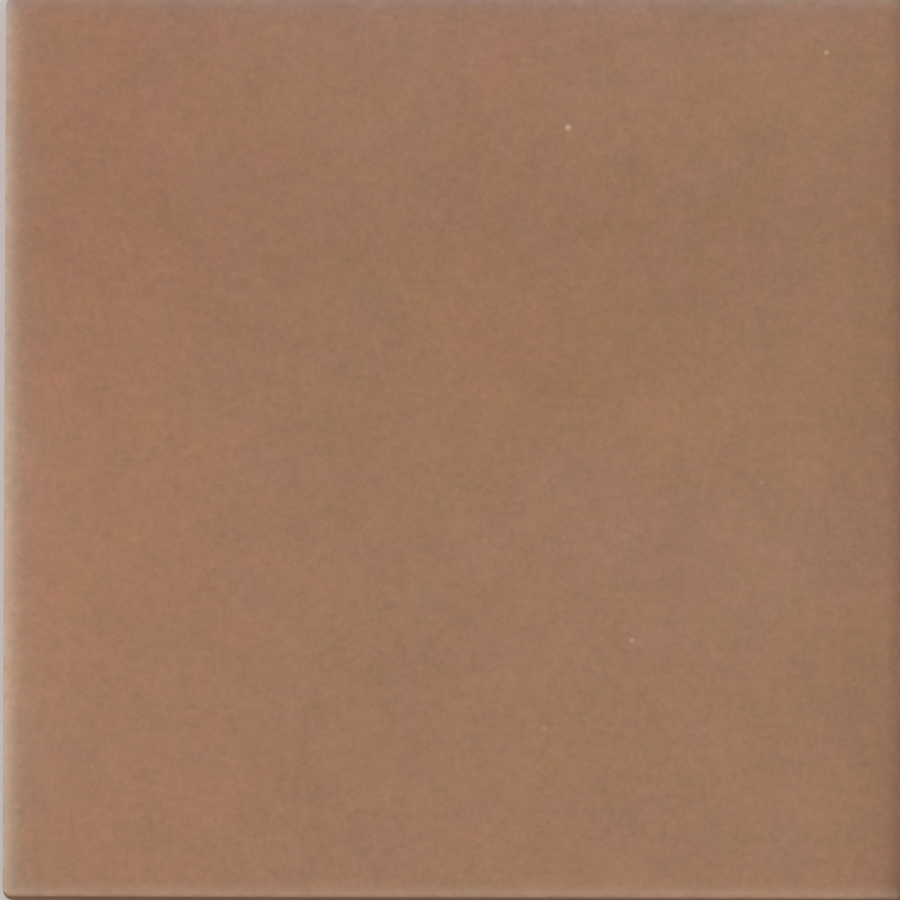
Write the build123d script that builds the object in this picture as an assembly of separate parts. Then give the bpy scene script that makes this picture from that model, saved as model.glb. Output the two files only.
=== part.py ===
from build123d import *
import math
import os

# A square floor tile of unglazed fired clay, one solid piece.
# Its column is extruded along Y with the keying grooves in its back. Pressing then rolls the face down
# to all four sides. The origin is in the middle of the back, and +Z points out of the face.
# Lengths are in millimetres and angles in degrees.

# The square
tile_side = 150.0
tile_thickness = 12.0
corner_radius = 1.6  # the upright corners, seen from above

# The cushioned edge of the face: a quarter of an ellipse from the flat to the side
cushion_width = 3.2
cushion_drop = 1.4

# The arris where the sides meet the back
back_arris_radius = 0.8

# The keying grooves in the back
groove_mouth = 5.5
groove_depth = 1.2
groove_draft = 20.0  # lean of each wall, away from square to the back
groove_root_radius = 0.5
groove_pairs = 6  # one groove of a pair lies on each side of the middle rib
outer_land = 6.25  # from the outermost groove to the edge


def cushioned_section():
    """The tile's section through its middle, with a plain back: x is across it and y is up."""
    half_side = tile_side / 2
    half_face = half_side - cushion_width
    half_back = half_side - back_arris_radius
    shoulder = tile_thickness - cushion_drop
    right_half = Curve() + [
        Line((0, 0), (half_back, 0)),
        CenterArc((half_back, back_arris_radius), back_arris_radius, -90, 90),
        Line((half_side, back_arris_radius), (half_side, shoulder)),
        EllipticalCenterArc((half_face, shoulder), cushion_width, cushion_drop, arc_size=90),
        Line((half_face, tile_thickness), (0, tile_thickness)),
    ]
    return make_face(right_half + mirror(right_half, about=Plane.YZ))


def groove_places():
    """Where the grooves lie across the back: evenly spaced between the outer lands."""
    outermost = tile_side / 2 - outer_land - groove_mouth / 2
    pitch = 2 * outermost / (2 * groove_pairs - 1)
    return [i * pitch - outermost for i in range(2 * groove_pairs)]


def groove_section():
    """One groove with leaning walls and a rounded root, open at the back."""
    half_mouth = groove_mouth / 2
    half_root = half_mouth - groove_depth * math.tan(math.radians(groove_draft))
    outline = Polyline(
        (-half_mouth, 0),
        (half_mouth, 0),
        (half_root, groove_depth),
        (-half_root, groove_depth),
        close=True,
    )
    groove = make_face(outline)
    return fillet(groove.vertices().group_by(Axis.Y)[-1], groove_root_radius)


def keyed_section():
    """The section across the grooves."""
    groove = groove_section()
    return cushioned_section() - [Pos(X=place) * groove for place in groove_places()]


def make_tile():
    """The grooved column, cut to length by the plain section and rounded at the upright corners."""
    along = extrude(Plane.XZ * keyed_section(), amount=tile_side, both=True)
    across = extrude(Plane.YZ * cushioned_section(), amount=tile_side, both=True)
    corners = extrude(RectangleRounded(tile_side, tile_side, corner_radius), amount=tile_thickness)
    return along & across & corners


os.makedirs("parts", exist_ok=True)
export_step(make_tile(), "parts/tile.step")
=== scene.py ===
import math

import bmesh
import bpy
import numpy as np
from mathutils import Euler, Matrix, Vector


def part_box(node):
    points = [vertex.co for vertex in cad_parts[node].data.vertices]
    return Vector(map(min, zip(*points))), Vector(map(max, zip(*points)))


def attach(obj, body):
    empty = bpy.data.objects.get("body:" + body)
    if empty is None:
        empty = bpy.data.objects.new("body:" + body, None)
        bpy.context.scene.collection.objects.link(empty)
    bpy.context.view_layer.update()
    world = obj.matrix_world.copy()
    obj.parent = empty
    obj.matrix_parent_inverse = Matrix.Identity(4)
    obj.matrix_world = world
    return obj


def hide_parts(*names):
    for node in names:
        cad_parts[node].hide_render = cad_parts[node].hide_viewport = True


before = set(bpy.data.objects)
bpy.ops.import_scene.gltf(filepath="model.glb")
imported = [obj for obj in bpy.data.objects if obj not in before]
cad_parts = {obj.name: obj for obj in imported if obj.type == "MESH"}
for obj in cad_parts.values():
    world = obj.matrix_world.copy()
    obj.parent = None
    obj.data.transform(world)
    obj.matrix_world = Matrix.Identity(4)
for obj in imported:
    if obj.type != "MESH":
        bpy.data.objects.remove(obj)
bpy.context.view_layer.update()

MM = 0.001

# The tile's sizes, as its solid has them
LOW, HIGH = (Vector(corner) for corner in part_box("tile"))
HALF_SIDE = (HIGH.x - LOW.x) / 2
THICKNESS = HIGH.z - LOW.z
CORNER_RADIUS = 1.6 * MM
CUSHION_WIDTH = 3.2 * MM
CUSHION_DROP = 1.4 * MM
BACK_ARRIS_RADIUS = 0.8 * MM
GROOVE_MOUTH = 5.5 * MM
GROOVE_DEPTH = 1.2 * MM
GROOVE_DRAFT = math.radians(20)
GROOVE_ROOT_RADIUS = 0.5 * MM
GROOVE_PAIRS = 6
OUTER_LAND = 6.25 * MM
HALF_FACE = HALF_SIDE - CUSHION_WIDTH
SHOULDER = THICKNESS - CUSHION_DROP

# What pressing and wear leave of the sharp edges
GROOVE_LIP = 0.15 * MM  # the worn lips of the grooves
MITRE_CRISPNESS = 5.0  # of the cushion at the corners: the higher, the sharper its mitre
SHARP_ANGLE = math.radians(40)  # an edge that turns more than this is shaded as a sharp one

# How finely the mesh follows the shape
LAND_CELLS = 6  # across the rib between two grooves
OUTER_CELLS = 11  # across each outer land
CUSHION_STEPS = 8
SIDE_STEPS = 16
ARRIS_STEPS = 4
BACK_STEP = 4  # cells of the face's grid for each cell along the grooves

# Relief in the clay: spread of its heights, and its shortest and longest waves
SEED = 7
FACE_GRAIN = (0.006 * MM, 1.6 * MM, 5.0 * MM)
FACE_SWELL = (0.020 * MM, 14.0 * MM, 60.0 * MM)
SIDE_GRAIN = (0.030 * MM, 1.6 * MM, 6.0 * MM)
SIDE_FADE = 2.0 * MM  # the relief of a side dies out this near to an upright corner
BACK_GRAIN = (0.025 * MM, 2.0 * MM, 16.0 * MM)
DRAG = 8.0  # how much longer the clay's marks are along Y, the way it was drawn, than across

# Places in the photograph, in pixels of its frame
PHOTO_SIDE = 900
TILE_WIDTH_PX = 903.4
TILE_CENTRE_PX = (455.9, 446.1)
TILE_TURN = math.radians(0.19)  # clockwise

# The camera looks down, leaning enough to show a sliver of the front side; its lens is in millimetres
CAMERA_LENS = 1600.0
CAMERA_SENSOR = 36.0
CAMERA_LEAN = math.radians(4.6)
CAMERA_CLIP = 4.0  # it sees this many times as far as the tile

# Colours and tints, as linear light
CLAY = (0.316, 0.163, 0.092)
PALE_SPECK = (0.66, 0.46, 0.34)
# darker, browner clay of the sides, deepened as painted shade
SIDE_TINT_AND_SHADE = (0.84, 0.72, 0.62)
# pale colour of the worn arris, also a painted sheen on the rolled edge
WORN_AND_SHEEN_ARRIS = (0.60, 0.42, 0.30)
FLOOR = (0.560, 0.535, 0.520)
FLOOR_ROUGHNESS = 0.9
FLOOR_REACH = 20.0  # each way from the middle, in metres

# Kiln flashes on the face, and among them painted light and shade: middle and reach in millimetres, and tint
FLASHES_AND_PAINTED_LIGHT = [
    ((14, 34), (120, 32), (0.945, 0.930, 0.925)),
    # painted light: lighter towards the lower left, where the key light falls
    ((-84, -32), (66, 74), (1.120, 1.105, 1.115)),
    ((-80, 10), (75, 150), (1.024, 0.982, 0.985)),
    ((82, 0), (70, 140), (0.982, 1.012, 1.000)),
    # painted shade: darker towards the right edge, away from the key light
    ((84, -4), (30, 200), (0.910, 0.880, 0.850)),
    # painted shade: darker towards the front right corner
    ((78, -66), (16, 34), (0.900, 0.890, 0.870)),
    ((-62, 52), (70, 60), (1.020, 0.971, 0.980)),
    # painted highlight: a paler, bluer rim along the left edge
    ((-80, 0), (22, 160), (1.050, 1.120, 1.160)),
    ((25, 11), (80, 26), (0.998, 0.990, 0.918)),
    ((54, -18), (56, 20), (1.000, 1.010, 1.066)),
    ((10, 76), (120, 24), (1.004, 1.014, 1.110)),
    ((6, 58), (11, 56), (1.034, 0.980, 0.976)),
    ((11, 14), (22, 17), (1.018, 0.988, 0.974)),
    ((-56, -8), (34, 110), (1.012, 0.994, 0.988)),
    ((-72, 32), (26, 36), (0.968, 0.985, 0.985)),
    ((-35, -62), (32, 28), (1.030, 1.022, 1.006)),
]
FLASH_DRIFT = (34.0, 2.0)  # the noise that moves them about: size in millimetres and detail
FLASH_WANDER = 26.0  # how far its whole swing moves them, in millimetres

# Painted light and shade along the edges, given in the same way: painted highlights on the left rim and
# front lip, a painted bluish sheen on the back rim, painted shade down the right edge and along the front
# side, lighter at its left end and darkest at its front right corner; they keep to their places and also
# tint the pale arris
PAINTED_EDGE_LIGHT_AND_SHADE = [
    ((-76, 0), (7.4, 400), (0.965, 1.180, 1.340)),
    ((0, 76), (400, 6), (0.915, 1.035, 1.250)),
    ((76, 0), (5, 400), (0.895, 0.785, 0.785)),
    ((46, -75.3), (90, 1.2), (0.970, 0.860, 0.760)),
    ((-50, -75.3), (46, 0.8), (1.160, 1.090, 1.110)),
    ((40, -73), (70, 6), (1.040, 1.025, 1.000)),
    ((77, -76), (8, 8), (0.560, 0.520, 0.500)),
]

# Mottling: size in millimetres, detail, and swings of its shade and, if it has one, of its tinge
MOTTLES = [
    (18.0, 1.0, 0.045, 0.030),
    (7.0, 1.0, 0.048, 0.052),
    (2.0, 1.0, 0.086, 0.048),
    (0.9, 1.0, 0.122, None),
    (0.4, 1.0, 0.084, None),
]
TINGE_SHARES = Vector((0.7, 0.7, 2.0))  # how far a tinge moves red, green and blue

# Grains: spacing of their cells and size in millimetres, then the share of the cells and the tint
# of the dark ones and of the pale ones
FACE_GRAINS = (2.6, 0.34, (0.30, (0.90, 0.89, 0.88)), (0.15, (1.15, 1.17, 1.19)))
BODY_GRAINS = (2.4, 0.60, (0.19, (0.66, 0.63, 0.60)), (0.26, (1.28, 1.26, 1.22)))
GRAIN_CORE = 0.3  # share of a grain's reach that has its full tint

# The coarser clay of the sides and back
BODY_TEXTURE = (0.8, 2.0)  # size in millimetres and detail
BODY_DRAG = 1.8  # how much longer its marks are along Y
BODY_DEPTH = 0.10  # in millimetres
BODY_PAINTED_SHADE_AND_LIGHT = (0.84, 1.14)  # painted shade in its pits and painted light on its ridges
FINISH_FADE = 3.0  # the face's finish fades out over this height of the sides, in millimetres
FINISH_RAGGED = 0.7  # and starts to fade this much higher or lower from place to place

# The pale specks that show on the face: place in the photograph's pixels, reach in millimetres, strength
PALE_SPECKS = [
    (568, 127, 0.78, 0.66),
    (827, 52, 0.64, 0.50),
    (632, 640, 0.62, 0.44),
    (544, 728, 0.64, 0.21),
    (761, 483, 0.60, 0.15),
    (545, 480, 0.85, 0.10),
]

# Wear round the rolled edge, paler also as a painted sheen where the edge catches the light
ARRIS_WEAR_AND_SHEEN = (0.21, 0.49)  # least and most, at the arris
PALE_ARRIS_REACH = 3.8  # over the face, in millimetres
PALE_ARRIS_FALL = 3.2  # the power that it fades by
PALE_ARRIS_FOOT = (-0.6, 0.1)  # where it starts and where it is full, in millimetres above the shoulder

# Gloss and bump of the clay
SPECULAR_LEVEL = 0.27
FACE_ROUGHNESS = (0.56, 0.66)  # least and most
SIDE_EXTRA_ROUGHNESS = 0.30
BUMPS = [(0.45, 1.0, 0.017), (1.6, 1.0, 0.016)]  # size in millimetres, detail, and depth in millimetres

# What makes the wear, the gloss and the end of the finish uneven: size in millimetres and detail
UNEVENNESS = (2.4, 3.0)
NOISE_SPAN = (0.3, 0.7)  # nearly all values of a noise lie in it
NOISE_MIDDLE = (0.5, 0.5, 0.5)

# Sockets of the Mix node that take and give colours
MIX_COLOURS = (6, 7)
MIX_RESULT = 2

# Shares of the light that falls on the face; together they are 1
KEY_SHARE = 0.50
TOP_SHARE = 0.14
AMBIENT_SHARE = 0.36
FRONT_GLOSS = 0.45  # a lamp in front that adds gloss alone

# Lamps: azimuth from +X towards +Y, elevation, and width, in degrees
KEY_LAMP = (180, 48, 44)
TOP_LAMP = (135, 72, 60)
FRONT_LAMP = (266, 36, 44)


def band_noise(rng, shape, cell, shortest, longest, stretch=1.0):
    """Smooth noise of unit spread on a grid, with waves between two lengths, stretched down its rows."""
    rows, columns = shape
    down = np.fft.fftfreq(rows, cell)[:, None] * stretch
    across = np.fft.rfftfreq(columns, cell)[None, :]
    pitch = np.hypot(down, across)
    rise = np.clip(pitch * longest, 0, 1) ** 2
    fall = np.exp(-((pitch * shortest) ** 2))
    wave = np.fft.irfft2(np.fft.rfft2(rng.standard_normal(shape)) * rise * fall, s=shape)
    return (wave - wave.mean()) / wave.std()


def groove_places():
    """Where the grooves lie across the back, as in the solid."""
    outermost = HALF_SIDE - OUTER_LAND - GROOVE_MOUTH / 2
    return np.linspace(-outermost, outermost, 2 * GROOVE_PAIRS)


def half_groove():
    """From a groove's lip to its middle: distances from the middle, and heights above the ribs' faces."""
    lean = math.tan(GROOVE_DRAFT)
    half_mouth = GROOVE_MOUTH / 2
    half_root = half_mouth - GROOVE_DEPTH * lean
    run = GROOVE_ROOT_RADIUS * math.tan((math.pi / 2 - GROOVE_DRAFT) / 2)
    lip = np.array([half_mouth + GROOVE_LIP, 0])
    wall_start = np.array([half_mouth - GROOVE_LIP * lean, GROOVE_LIP])
    corner = np.array([half_root, GROOVE_DEPTH])
    wall_end = corner + run * np.array([math.sin(GROOVE_DRAFT), -math.cos(GROOVE_DRAFT)])
    root_start = corner - np.array([run, 0])
    centre = root_start - np.array([0, GROOVE_ROOT_RADIUS])
    towards = (corner - centre) / np.linalg.norm(corner - centre)
    bend = centre + GROOVE_ROOT_RADIUS * towards
    middle = np.array([0, GROOVE_DEPTH])
    points = [lip, wall_start, (wall_start + wall_end) / 2, wall_end, bend, root_start, middle]
    return np.array(points).T


def back_lines(half):
    """Grid lines across the back out to half on each side, and the height of the back at each."""
    reach, rise = half_groove()
    groove = np.concatenate([-reach, reach[-2::-1]])
    groove_rise = np.concatenate([rise, rise[-2::-1]])
    places, heights = [], []
    start, cells = -half, OUTER_CELLS
    for middle in groove_places():
        land = np.linspace(start, middle + groove[0], cells + 1)[:-1]
        places += [land, middle + groove[:-1]]
        heights += [np.zeros(cells), groove_rise[:-1]]
        start, cells = middle + groove[-1], LAND_CELLS
    places.append(np.linspace(start, half, OUTER_CELLS + 1))
    heights.append(np.zeros(OUTER_CELLS + 1))
    return np.concatenate(places), np.concatenate(heights)


def face_lines(cells):
    """Grid lines across the face, from side to side, and how far the cushion has dropped at each."""
    turn = np.linspace(0, math.pi / 2, CUSHION_STEPS + 1)[:-1]
    edge = HALF_FACE + CUSHION_WIDTH * np.cos(turn)
    drop = CUSHION_DROP * (1 - np.sin(turn))
    flat = np.linspace(-HALF_FACE, HALF_FACE, cells - 2 * CUSHION_STEPS + 1)
    return np.concatenate([-edge, flat, edge[::-1]]), np.concatenate([drop, 0 * flat, drop[::-1]])


def round_corners(x, y, radius):
    """Moves plan points so that the square's corners follow an arc about the corner's centre."""
    centre = HALF_SIDE - CORNER_RADIUS
    p = np.maximum(np.abs(x) - centre, 0)
    q = np.maximum(np.abs(y) - centre, 0)
    new_p = p * np.sqrt(1 - q**2 / (2 * radius**2))
    new_q = q * np.sqrt(1 - p**2 / (2 * radius**2))
    return x + np.sign(x) * (new_p - p), y + np.sign(y) * (new_q - q)


def face_points(rng, cells):
    """The face's grid of points: flat in the middle, rolled down to the sides, with the clay's relief."""
    lines, drop = face_lines(cells)
    x, y = np.meshgrid(lines, lines)
    sum_of_drops = drop[:, None] ** MITRE_CRISPNESS + drop[None, :] ** MITRE_CRISPNESS
    fall = np.minimum(sum_of_drops ** (1 / MITRE_CRISPNESS), CUSHION_DROP)
    cell = 2 * HALF_SIDE / cells
    relief = np.zeros(x.shape)
    for spread, *waves in (FACE_GRAIN, FACE_SWELL):
        relief += spread * band_noise(rng, x.shape, cell, *waves)
    relief = (relief - relief.max()) * (1 - fall / CUSHION_DROP)
    x, y = round_corners(x, y, CORNER_RADIUS)
    return np.stack([x, y, THICKNESS - fall + relief], -1)


def ring(xs, ys, front_back_z, side_z, half, radius):
    """One loop of points round the tile, counted from the front left corner towards +X."""
    n = len(xs) - 1
    x = np.concatenate([xs[:n], np.full(n, half), xs[n:0:-1], np.full(n, -half)])
    y = np.concatenate([np.full(n, -half), ys[:n], np.full(n, half), ys[n:0:-1]])
    sides = np.full(n, side_z)
    z = np.concatenate([front_back_z[:n], sides, front_back_z[n:0:-1], sides])
    x, y = round_corners(x, y, radius)
    return np.stack([x, y, z], -1)


def side_relief(rng, cells):
    """How deep the clay lies below the sides, loop by loop: drawn along Y, and plain on the two cut ends."""
    spread, shortest, longest = SIDE_GRAIN
    cell = 2 * HALF_SIDE / cells
    sides = []
    for drag in (1.0, DRAG, 1.0, DRAG):
        sides.append(band_noise(rng, (SIDE_STEPS, cells), cell, drag * shortest, drag * longest, 1 / drag))
    relief = np.concatenate(sides, axis=1)
    from_corner = HALF_SIDE * (1 - np.abs(np.linspace(-1, 1, cells, endpoint=False)))
    along = np.clip(from_corner / SIDE_FADE, 0, 1)
    down = np.sin(np.linspace(0, math.pi, SIDE_STEPS + 1)[1:])
    return spread * (relief.max() - relief) * np.tile(along, 4) * down[:, None]


def side_rings(rng, cells):
    """Loops down the sides, below the face's own, and round the arris to the back."""
    face_x, _ = face_lines(cells)
    back_x, rise = back_lines(HALF_SIDE)
    even = np.linspace(-1, 1, cells + 1)
    foot = np.maximum(rise, BACK_ARRIS_RADIUS)
    rings = []
    for share in np.linspace(0, 1, SIDE_STEPS + 1)[1:]:
        xs = face_x + (back_x - face_x) * share
        ys = face_x + (even * HALF_SIDE - face_x) * share
        z = SHOULDER + (foot - SHOULDER) * share
        side_z = SHOULDER + (BACK_ARRIS_RADIUS - SHOULDER) * share
        rings.append(ring(xs, ys, z, side_z, HALF_SIDE, CORNER_RADIUS))
    for loop, inwards in zip(rings, side_relief(rng, cells)):
        loop[:, :2] *= 1 - inwards[:, None] / HALF_SIDE
    for turn in np.linspace(0, math.pi / 2, ARRIS_STEPS + 1)[1:]:
        inset = BACK_ARRIS_RADIUS * (1 - math.cos(turn))
        half = HALF_SIDE - inset
        z = BACK_ARRIS_RADIUS * (1 - math.sin(turn))
        xs, rise = back_lines(half)
        rings.append(ring(xs, even * half, np.maximum(rise, z), z, half, CORNER_RADIUS - inset))
    return rings


def back_points(rng, cells):
    """The points of the back inside its outline: rows along the grooves are coarser than lines across."""
    half = HALF_SIDE - BACK_ARRIS_RADIUS
    xs, rise = back_lines(half)
    ys = np.linspace(-half, half, cells // BACK_STEP + 1)
    x, y = np.meshgrid(xs, ys)
    spread, shortest, longest = BACK_GRAIN
    relief = spread * band_noise(rng, x.shape, 2 * half / cells, shortest, longest, DRAG / BACK_STEP)
    z = rise[None, :] + relief - relief.min()
    x, y = round_corners(x, y, CORNER_RADIUS - BACK_ARRIS_RADIUS)
    return np.stack([x, y, z], -1)


def grid_quads(ids):
    """Quads between the neighbours of a grid of point numbers."""
    corners = [ids[:-1, :-1], ids[:-1, 1:], ids[1:, 1:], ids[1:, :-1]]
    return np.stack(corners, -1).reshape(-1, 4).tolist()


def outline_ids(ids):
    """The numbers round a grid's outline, in the order that ring counts."""
    return np.concatenate([ids[0, :-1], ids[:-1, -1], ids[-1, :0:-1], ids[:0:-1, 0]])


def seam_faces(fine, coarse):
    """Triangles between a fine column of points and a coarse one, BACK_STEP cells to one."""
    faces = []
    middle = BACK_STEP // 2
    for k in range(len(coarse) - 1):
        points = fine[k * BACK_STEP:(k + 1) * BACK_STEP + 1]
        near, far = coarse[k], coarse[k + 1]
        faces += [[points[i], points[i + 1], near] for i in range(middle)]
        faces.append([near, points[middle], far])
        faces += [[points[i], points[i + 1], far] for i in range(middle, BACK_STEP)]
    return faces


def tile_mesh():
    """The whole tile as one closed mesh."""
    rng = np.random.default_rng(SEED)
    cells = len(back_lines(HALF_SIDE)[0]) - 1
    face = face_points(rng, cells)
    rings = side_rings(rng, cells)
    back = back_points(rng, cells)
    points = [face.reshape(-1, 3), *rings]
    face_ids = np.arange(face.shape[0] * face.shape[1]).reshape(face.shape[:2])
    first = face_ids.size
    loops = [outline_ids(face_ids)]
    for loop in rings:
        loops.append(np.arange(first, first + len(loop)))
        first += len(loop)

    # The back's outline is the last loop, which is finer than the back along its two outer columns
    front, right, rear, left = np.split(loops[-1], 4)
    back_ids = np.full(back.shape[:2], -1)
    back_ids[0] = [*front, right[0]]
    back_ids[-1] = [*rear, left[0]][::-1]
    inner = back[1:-1, 1:-1]
    inner_ids = first + np.arange(inner.shape[0] * inner.shape[1])
    back_ids[1:-1, 1:-1] = inner_ids.reshape(inner.shape[:2])
    points.append(inner.reshape(-1, 3))

    faces = grid_quads(face_ids)
    for upper, lower in zip(loops, loops[1:]):
        faces += grid_quads(np.stack([np.append(upper, upper[0]), np.append(lower, lower[0])]))
    faces += grid_quads(back_ids[:, 1:-1])
    faces += seam_faces([front[0], *left[::-1]], back_ids[:, 1])
    faces += seam_faces([*right, rear[0]], back_ids[:, -2])

    mesh = bpy.data.meshes.new("tile_body")
    mesh.from_pydata(np.concatenate(points).tolist(), [], faces)
    shaped = bmesh.new()
    shaped.from_mesh(mesh)
    bmesh.ops.recalc_face_normals(shaped, faces=shaped.faces)
    shaped.to_mesh(mesh)
    shaped.free()
    mesh.shade_smooth()
    mesh.set_sharp_from_angle(angle=SHARP_ANGLE)
    return mesh


def add_node(tree, kind, inputs=None, **settings):
    """A new node with its settings, and each input given a value or linked to another node's output."""
    node = tree.nodes.new(kind)
    for name, value in settings.items():
        setattr(node, name, value)
    for key, value in (inputs or {}).items():
        if isinstance(value, bpy.types.NodeSocket):
            tree.links.new(value, node.inputs[key])
        else:
            node.inputs[key].default_value = value
    return node


def noise(tree, at, size, detail):
    """Noise with features of about this many millimetres."""
    return add_node(tree, "ShaderNodeTexNoise", {"Vector": at, "Scale": 1 / size, "Detail": detail})


def remap(tree, value, start, stop, to_start, to_stop, smooth=False):
    """Value carried from one span to another, and held at the ends."""
    inputs = {0: value, 1: start, 2: stop, 3: to_start, 4: to_stop}
    kind = "SMOOTHSTEP" if smooth else "LINEAR"
    return add_node(tree, "ShaderNodeMapRange", inputs, interpolation_type=kind).outputs[0]


def combine(tree, operation, a, b):
    """Two numbers put together by an operation."""
    return add_node(tree, "ShaderNodeMath", {0: a, 1: b}, operation=operation).outputs[0]


def combine_vectors(tree, operation, a, b):
    """Two vectors put together by an operation."""
    return add_node(tree, "ShaderNodeVectorMath", {0: a, 1: b}, operation=operation).outputs[0]


def mix_colours(tree, blend, share, a, b):
    """Colours a and b together; a plain colour has three numbers."""
    inputs = {0: share}
    for socket, colour in zip(MIX_COLOURS, (a, b)):
        inputs[socket] = (*colour, 1) if isinstance(colour, tuple) else colour
    return add_node(tree, "ShaderNodeMix", inputs, data_type="RGBA", blend_type=blend).outputs[MIX_RESULT]


def patch_mask(tree, at, middle, reach, strength=1):
    """The strength in the middle of an oval patch of the face, fading to 0 at its reach in millimetres."""
    scale = (1 / reach[0], 1 / reach[1], 0)
    shift = (-middle[0] / reach[0], -middle[1] / reach[1], 0)
    inputs = {0: at, 1: scale, 2: shift}
    away = add_node(tree, "ShaderNodeVectorMath", inputs, operation="MULTIPLY_ADD").outputs[0]
    length = add_node(tree, "ShaderNodeVectorMath", {0: away}, operation="LENGTH").outputs["Value"]
    return remap(tree, length, 0, 1, strength, 0, smooth=True)


def photo_place(x, y):
    """Where a pixel of the photograph lies on the face, in millimetres from the middle."""
    px_per_mm = TILE_WIDTH_PX * MM / (2 * HALF_SIDE)
    right = (x - TILE_CENTRE_PX[0]) / px_per_mm
    up = (TILE_CENTRE_PX[1] - y) / (px_per_mm * math.cos(CAMERA_LEAN))
    turn_cos, turn_sin = math.cos(TILE_TURN), math.sin(TILE_TURN)
    return right * turn_cos - up * turn_sin, right * turn_sin + up * turn_cos


def grained(tree, at, spacing, size, dark, pale, strength, colour):
    """The colour with small dark and pale grains, each kind in its share of the cells of this spacing."""
    cells = add_node(tree, "ShaderNodeTexVoronoi", {"Vector": at, "Scale": 1 / spacing})
    pick = add_node(tree, "ShaderNodeSeparateColor", {0: cells.outputs["Color"]}).outputs[0]
    reach = size / spacing
    near = remap(tree, cells.outputs["Distance"], GRAIN_CORE * reach, reach, strength, 0, smooth=True)
    dark_share, dark_tint = dark
    pale_share, pale_tint = pale
    is_dark = combine(tree, "LESS_THAN", pick, dark_share)
    is_pale = combine(tree, "GREATER_THAN", pick, 1 - pale_share)
    colour = mix_colours(tree, "MULTIPLY", combine(tree, "MULTIPLY", near, is_dark), colour, dark_tint)
    return mix_colours(tree, "MULTIPLY", combine(tree, "MULTIPLY", near, is_pale), colour, pale_tint)


def bump(tree, relief, depth, inputs):
    """The surface's direction, tipped by the relief of a noise; its depth is in millimetres."""
    inputs = {"Height": relief.outputs["Fac"], "Distance": depth * MM, **inputs}
    return add_node(tree, "ShaderNodeBump", inputs).outputs[0]


def arris_wear_and_sheen(tree, at, height, uneven):
    """How far the clay is made pale round the rolled edge, by wear and as a painted sheen: most at the
    arris, fading in over the face.
    """
    plan = add_node(tree, "ShaderNodeVectorMath", {0: at}, operation="ABSOLUTE").outputs[0]
    across = add_node(tree, "ShaderNodeSeparateXYZ", {0: plan}).outputs
    edge = HALF_SIDE / MM
    near_edge = remap(tree, combine(tree, "MAXIMUM", across[0], across[1]), edge - PALE_ARRIS_REACH, edge, 0, 1)
    start, full = (SHOULDER / MM + above for above in PALE_ARRIS_FOOT)
    above_sides = remap(tree, height, start, full, 0, 1, smooth=True)
    most = combine(tree, "MULTIPLY", above_sides, remap(tree, uneven, *NOISE_SPAN, *ARRIS_WEAR_AND_SHEEN))
    return combine(tree, "MULTIPLY", combine(tree, "POWER", near_edge, PALE_ARRIS_FALL), most)


def with_flashes_and_painted_light(tree, at, flashes, colour):
    """The colour tinted patch by patch, by kiln flashes and as painted light and shade."""
    for middle, reach, tint in flashes:
        colour = mix_colours(tree, "MULTIPLY", patch_mask(tree, at, middle, reach), colour, tint)
    return colour


def drifting(tree, at):
    """Places moved about by smooth noise, so that the flashes and painted light laid out on them have no
    plain outline.
    """
    drift = combine_vectors(tree, "SUBTRACT", noise(tree, at, *FLASH_DRIFT).outputs["Color"], NOISE_MIDDLE)
    wander = combine_vectors(tree, "MULTIPLY", drift, (FLASH_WANDER, FLASH_WANDER, 0))
    return combine_vectors(tree, "ADD", at, wander)


def face_colour(tree, at):
    """The colour of the face: flashed by the kiln, with painted light and shade, mottled, and with pale and
    dark grains in it.
    """
    colour = with_flashes_and_painted_light(tree, drifting(tree, at), FLASHES_AND_PAINTED_LIGHT, CLAY)
    for size, detail, shade, tinge in MOTTLES:
        spots = noise(tree, at, size, detail)
        tint = remap(tree, spots.outputs["Fac"], 0, 1, 1 - shade, 1 + shade)
        if tinge:
            off_middle = combine_vectors(tree, "SUBTRACT", spots.outputs["Color"], NOISE_MIDDLE)
            hue = combine_vectors(tree, "MULTIPLY", off_middle, 2 * tinge * TINGE_SHARES)
            tint = combine_vectors(tree, "ADD", hue, tint)
        colour = mix_colours(tree, "MULTIPLY", 1.0, colour, tint)
    return grained(tree, at, *FACE_GRAINS, 1, colour)


def body_colour(tree, at, texture, off_face, colour):
    """The face's colour carried over the sides and back, where the clay is darker and browner, deepened as
    painted shade, with painted shade in its pits and painted light on its ridges, and grainy.
    """
    # darker, browner sides, deepened as painted shade
    colour = mix_colours(tree, "MULTIPLY", off_face, colour, SIDE_TINT_AND_SHADE)
    # painted shade in the pits and painted light on the ridges, following the bump's noise
    shade = remap(tree, texture.outputs["Fac"], *NOISE_SPAN, *BODY_PAINTED_SHADE_AND_LIGHT)
    colour = mix_colours(tree, "MULTIPLY", off_face, colour, shade)
    return grained(tree, at, *BODY_GRAINS, off_face, colour)


def specked(tree, at, colour):
    """The colour with the pale specks that show on the face."""
    for x, y, reach, strength in PALE_SPECKS:
        mask = patch_mask(tree, at, photo_place(x, y), (reach, reach), strength)
        colour = mix_colours(tree, "MIX", mask, colour, PALE_SPECK)
    return colour


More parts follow.
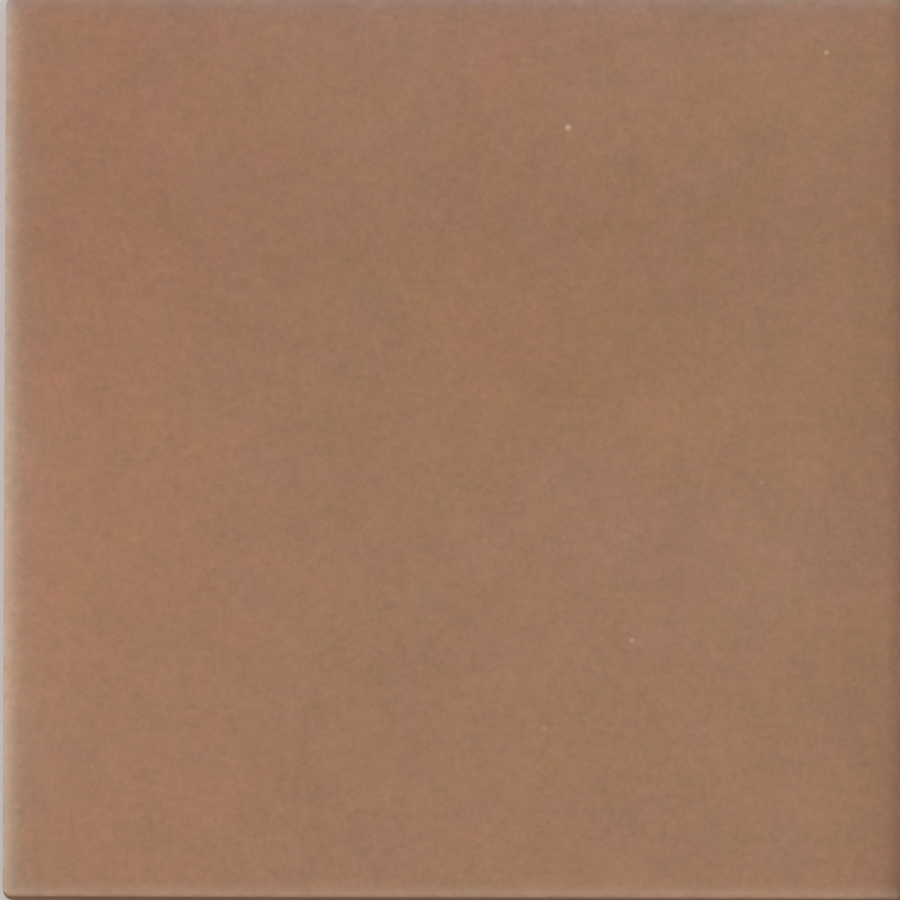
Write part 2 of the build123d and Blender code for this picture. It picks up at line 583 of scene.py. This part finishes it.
def fired_clay():
    """Unglazed fired clay: matt, fine grained, faintly satin on the face, coarser on the sides and back."""
    material = bpy.data.materials.new("fired_clay")
    material.use_nodes = True
    tree = material.node_tree
    surface = tree.nodes["Principled BSDF"]
    surface.inputs["Specular IOR Level"].default_value = SPECULAR_LEVEL
    place = add_node(tree, "ShaderNodeTexCoord").outputs["Object"]
    at = combine_vectors(tree, "MULTIPLY", place, (1 / MM, 1 / MM, 1 / MM))
    height = add_node(tree, "ShaderNodeSeparateXYZ", {0: at}).outputs[2]
    uneven = noise(tree, at, *UNEVENNESS).outputs["Fac"]
    ragged = remap(tree, uneven, *NOISE_SPAN, -FINISH_RAGGED, FINISH_RAGGED)
    full = SHOULDER / MM - FINISH_RAGGED
    on_face = remap(tree, combine(tree, "ADD", height, ragged), full - FINISH_FADE, full, 0, 1, smooth=True)
    off_face = combine(tree, "SUBTRACT", 1.0, on_face)
    drawn = combine_vectors(tree, "MULTIPLY", at, (1, 1 / BODY_DRAG, 1))
    texture = noise(tree, drawn, *BODY_TEXTURE)

    colour = body_colour(tree, at, texture, off_face, face_colour(tree, at))
    face_finish_and_painted_light = specked(tree, at, colour)
    # pale worn arris, partly a painted sheen on the rolled edge
    face_finish_and_painted_light = mix_colours(tree, "MIX", arris_wear_and_sheen(tree, at, height, uneven), face_finish_and_painted_light, WORN_AND_SHEEN_ARRIS)
    # painted highlights, sheen and shade along the edges
    face_finish_and_painted_light = with_flashes_and_painted_light(tree, at, PAINTED_EDGE_LIGHT_AND_SHADE, face_finish_and_painted_light)
    colour = mix_colours(tree, "MIX", on_face, colour, face_finish_and_painted_light)
    tree.links.new(colour, surface.inputs["Base Color"])

    rough = remap(tree, uneven, *NOISE_SPAN, *FACE_ROUGHNESS)
    rough = combine(tree, "ADD", rough, remap(tree, on_face, 0, 1, SIDE_EXTRA_ROUGHNESS, 0))
    tree.links.new(rough, surface.inputs["Roughness"])

    normal = bump(tree, texture, BODY_DEPTH, {"Strength": off_face})
    for size, detail, depth in BUMPS:
        normal = bump(tree, noise(tree, at, size, detail), depth, {"Strength": 1.0, "Normal": normal})
    tree.links.new(normal, surface.inputs["Normal"])
    return material


def soft_sun(name, angles, share):
    """A wide, far lamp that gives the level face its share of the light."""
    azimuth, elevation, width = (math.radians(angle) for angle in angles)
    lamp = bpy.data.lights.new(name, "SUN")
    lamp.energy = share * math.pi / math.sin(elevation)
    lamp.angle = width
    holder = bpy.data.objects.new(name, lamp)
    towards = Vector((math.cos(azimuth), math.sin(azimuth), math.tan(elevation)))
    holder.rotation_euler = towards.to_track_quat("Z", "Y").to_euler()
    bpy.context.collection.objects.link(holder)
    return holder


def light_scene():
    """Soft light from the left and above, gloss along the front lip, and an even glow all round."""
    soft_sun("key", KEY_LAMP, KEY_SHARE)
    soft_sun("top", TOP_LAMP, TOP_SHARE)
    lip = soft_sun("lip", FRONT_LAMP, FRONT_GLOSS)
    lip.visible_diffuse = False
    world = bpy.data.worlds.new("studio")
    world.use_nodes = True
    glow = world.node_tree.nodes["Background"]
    glow.inputs["Color"].default_value = (1, 1, 1, 1)
    glow.inputs["Strength"].default_value = AMBIENT_SHARE
    bpy.context.scene.world = world


def make_floor():
    """A wide pale floor under the tile."""
    mesh = bpy.data.meshes.new("floor")
    near, far = -FLOOR_REACH, FLOOR_REACH
    corners = [(near, near, 0), (far, near, 0), (far, far, 0), (near, far, 0)]
    mesh.from_pydata(corners, [], [(0, 1, 2, 3)])
    material = bpy.data.materials.new("floor")
    material.use_nodes = True
    surface = material.node_tree.nodes["Principled BSDF"]
    surface.inputs["Base Color"].default_value = (*FLOOR, 1)
    surface.inputs["Roughness"].default_value = FLOOR_ROUGHNESS
    mesh.materials.append(material)
    floor = bpy.data.objects.new("floor", mesh)
    bpy.context.collection.objects.link(floor)


def make_camera():
    """A long lens from above, framed as the photograph is."""
    per_px = 2 * HALF_SIDE / TILE_WIDTH_PX
    frame_width = per_px * PHOTO_SIDE
    centre_x, centre_y = TILE_CENTRE_PX
    right = (PHOTO_SIDE / 2 - centre_x) * per_px
    up = (centre_y - PHOTO_SIDE / 2) * per_px
    target = Vector((right, up, THICKNESS))
    distance = frame_width * CAMERA_LENS / CAMERA_SENSOR
    lens = bpy.data.cameras.new("camera")
    lens.lens = CAMERA_LENS
    lens.sensor_width = CAMERA_SENSOR
    lens.clip_end = CAMERA_CLIP * distance
    camera = bpy.data.objects.new("camera", lens)
    aim = Euler((CAMERA_LEAN, 0, TILE_TURN))
    camera.location = target + aim.to_matrix() @ Vector((0, 0, distance))
    camera.rotation_euler = aim
    bpy.context.collection.objects.link(camera)
    bpy.context.scene.camera = camera


tile = bpy.data.objects.new("tile_body", tile_mesh())
bpy.context.collection.objects.link(tile)
tile.data.materials.append(fired_clay())
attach(tile, "root")
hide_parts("tile")

make_floor()
light_scene()
make_camera()
bpy.context.scene.view_settings.view_transform = "Standard"
